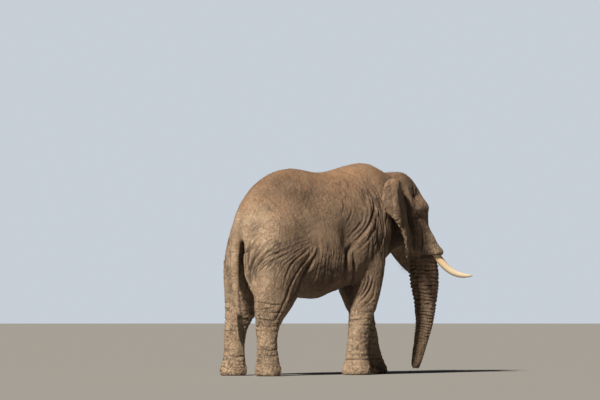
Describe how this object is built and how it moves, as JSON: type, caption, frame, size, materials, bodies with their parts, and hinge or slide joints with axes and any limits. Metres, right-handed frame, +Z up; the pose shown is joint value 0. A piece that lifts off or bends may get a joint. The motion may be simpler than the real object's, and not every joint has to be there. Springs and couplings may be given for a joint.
{
  "type": "african elephant",
  "caption": "Life-size still model of a bull African bush elephant in a slow stride, head low, trunk hanging, short tusks.",
  "frame": {"origin": "middle of the bounding box at floor level, between the four feet", "axes": "+X the way the animal faces, +Y its left side, +Z up"},
  "size_m": [4.599, 1.5372, 3.3344],
  "materials": {
    "hide": "thick wrinkled hide, matt, dusted with reddish earth",
    "ivory": "worn ivory, satin, cream with a browner root",
    "nail": "horn, dull and ridged",
    "eye": "wet brown eyeball",
    "bristle": "coarse black hair"
  },
  "bodies": {
    "root": {"head": "hide", "jaw": "hide", "neck": "hide", "chest": "hide", "barrel": "hide", "rump": "hide", "trunk_upper": "hide", "trunk_middle": "hide", "trunk_lower": "hide", "ear_left": "hide", "ear_right": "hide", "foreleg_left": "hide", "foreleg_right": "hide", "hindleg_left": "hide", "hindleg_right": "hide", "forefoot_left": "hide", "forefoot_right": "hide", "hindfoot_left": "hide", "hindfoot_right": "hide", "tail": "hide", "tail_tuft": "bristle", "tusk_left": "ivory", "tusk_right": "ivory", "eye_left": "eye", "eye_right": "eye", "nail_fore_left_1": "nail", "nail_fore_left_2": "nail", "nail_fore_left_3": "nail", "nail_fore_left_4": "nail", "nail_fore_right_1": "nail", "nail_fore_right_2": "nail", "nail_fore_right_3": "nail", "nail_fore_right_4": "nail", "nail_hind_left_1": "nail", "nail_hind_left_2": "nail", "nail_hind_left_3": "nail", "nail_hind_right_1": "nail", "nail_hind_right_2": "nail", "nail_hind_right_3": "nail"}
  },
  "joints": []
}
